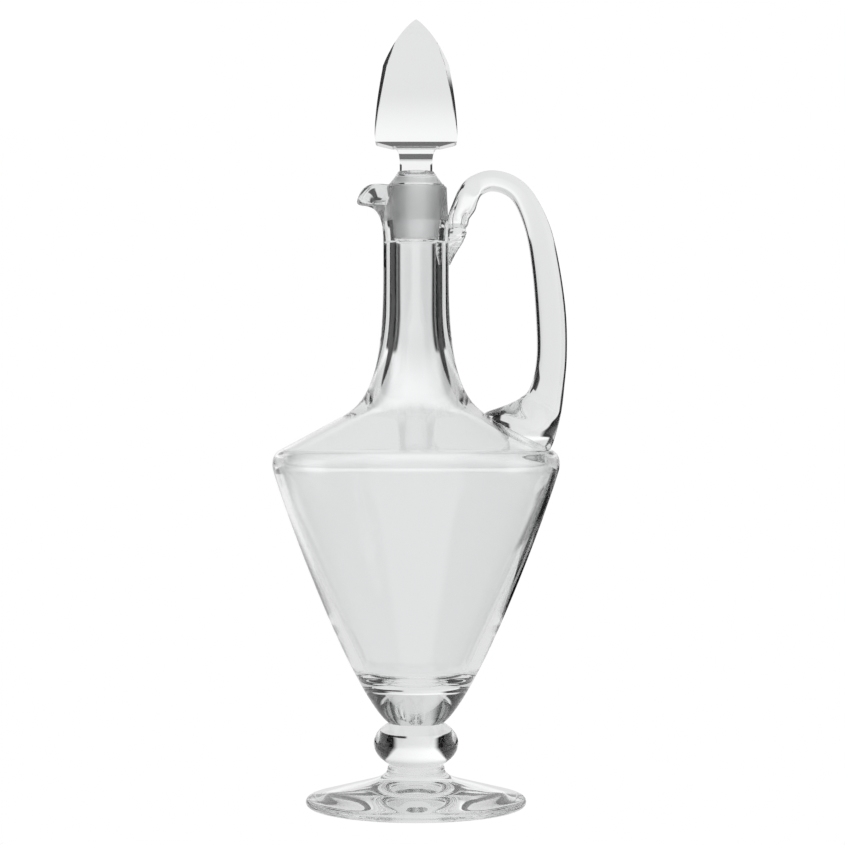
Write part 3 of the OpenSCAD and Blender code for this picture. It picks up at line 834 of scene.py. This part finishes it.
def makeRoom(s):
    # the panels behind and in front are narrower level with the jug, and a dark card hangs low on the right
    world = bpy.data.worlds.new("studio")
    scene.world = world
    world.use_nodes = True
    tree = world.node_tree
    coords, ahead = tree.nodes.new("ShaderNodeTexCoord"), tree.nodes.new("ShaderNodeSeparateXYZ")
    tree.links.new(coords.outputs["Generated"], ahead.inputs["Vector"])
    x, y, z = (ahead.outputs[axis] for axis in "XYZ")
    turned = mathNode(tree, "ARCTAN2", x, y)
    aside = mathNode(tree, "ABSOLUTE", mathNode(tree, "WRAP", turned, math.pi / 2, -math.pi / 2))

    fromLevel = mathNode(tree, "ABSOLUTE", mathNode(tree, "SUBTRACT", z, s["waistAt"]))
    waistAndFull = (math.radians(s["waistHalf"]), math.radians(s["panelHalf"]))
    half = rangeNode(tree, fromLevel, s["waistSpan"], waistAndFull)
    soft = math.radians(s["panelSoft"])
    panels = rangeNode(tree, mathNode(tree, "SUBTRACT", aside, half), (-soft, soft), (1, s["gapLight"]))
    sideFrom = math.pi / 2 - math.radians(s["sideHalf"])
    beside = rangeNode(tree, aside, (sideFrom - soft, sideFrom + soft), (0, s["sideLight"]))
    beside = mathNode(tree, "MULTIPLY", beside, rangeNode(tree, z, s["sideSpan"], (1, 0)))
    light = mathNode(tree, "MAXIMUM", panels, beside)
    for value, span, result in ((x, (-1, 1), s["acrossLight"]), (y, s["frontSpan"], s["frontLight"]),
                                (z, s["levelSpan"], s["levelLight"]), (z, s["upperSpan"], s["upperLight"])):
        light = mathNode(tree, "MULTIPLY", light, rangeNode(tree, value, span, result))
    light = mathNode(tree, "MAXIMUM", light, rangeNode(tree, z, s["topSpan"], (0, s["topLight"])))
    light = mathNode(tree, "MAXIMUM", light, rangeNode(tree, z, s["lowSpan"], (s["tableLight"], 0)))

    soft, cardTo = math.radians(s["cardSoft"]), math.radians(s["cardTo"])
    cardFrom = rangeNode(tree, z, s["cardBend"], [math.radians(angle) for angle in s["cardFrom"]])
    card = rangeNode(tree, mathNode(tree, "SUBTRACT", turned, cardFrom), (-soft, soft), (0, 1))
    for value, span, result in ((turned, (cardTo - soft, cardTo + soft), (1, 0)),
                                (z, s["cardFoot"], (0, 1)), (z, s["cardHead"], (1, 0))):
        card = mathNode(tree, "MULTIPLY", card, rangeNode(tree, value, span, result))
    light = mathNode(tree, "MULTIPLY", light, rangeNode(tree, card, (0, 1), (1, s["cardLight"])))

    background = tree.nodes["Background"]
    background.inputs["Color"].default_value = (1, 1, 1, 1)
    tree.links.new(mathNode(tree, "MAXIMUM", seenByLens(tree), light), background.inputs["Strength"])


def makeFlag(s):
    # a small dark flag behind the stopper, which the lens looks through
    bm = bmesh.new()
    bmesh.ops.create_grid(bm, x_segments=1, y_segments=1, size=0.5)
    bmesh.ops.scale(bm, vec=(*s["flagSize"], 1), verts=bm.verts)
    bmesh.ops.rotate(bm, matrix=Matrix.Rotation(math.pi / 2, 3, "X"), verts=bm.verts)
    bmesh.ops.translate(bm, vec=s["flagPlace"], verts=bm.verts)
    flag = asObject(bm, "darkFlag")
    material, nodes, links = newMaterial("darkFlag")
    nodes.remove(nodes["Principled BSDF"])
    kinds = ("MixShader", "BsdfTransparent", "Emission")
    mixed, clear, dark = (nodes.new("ShaderNode" + kind) for kind in kinds)
    dark.inputs["Strength"].default_value = s["flagLight"]
    links.new(seenByLens(material.node_tree), mixed.inputs["Fac"])
    links.new(dark.outputs["Emission"], mixed.inputs[1])
    links.new(clear.outputs["BSDF"], mixed.inputs[2])
    links.new(mixed.outputs["Shader"], nodes["Material Output"].inputs["Surface"])
    flag.data.materials.append(material)


makeTable(studioLook)
makeFlag(studioLook)
makeRoom(studioLook)
print("stage done")


# camera, and enough bounces for light to find its way out of the solid glass
cameraLook = {"lens": 100, "sensor": 36, "place": (0.0029, -1.056, 0.1721), "tilt": 90}
glassBounces, otherBounces = 64, 32

scene.view_settings.view_transform = "Standard"
scene.cycles.max_bounces = scene.cycles.transmission_bounces = glassBounces
scene.cycles.glossy_bounces = scene.cycles.transparent_max_bounces = otherBounces

cameraData = bpy.data.cameras.new("camera")
camera = bpy.data.objects.new("camera", cameraData)
scene.collection.objects.link(camera)
cameraData.lens, cameraData.sensor_width = cameraLook["lens"], cameraLook["sensor"]
camera.location = cameraLook["place"]
camera.rotation_euler = (math.radians(cameraLook["tilt"]), 0, 0)
scene.camera = camera
print("camera done")
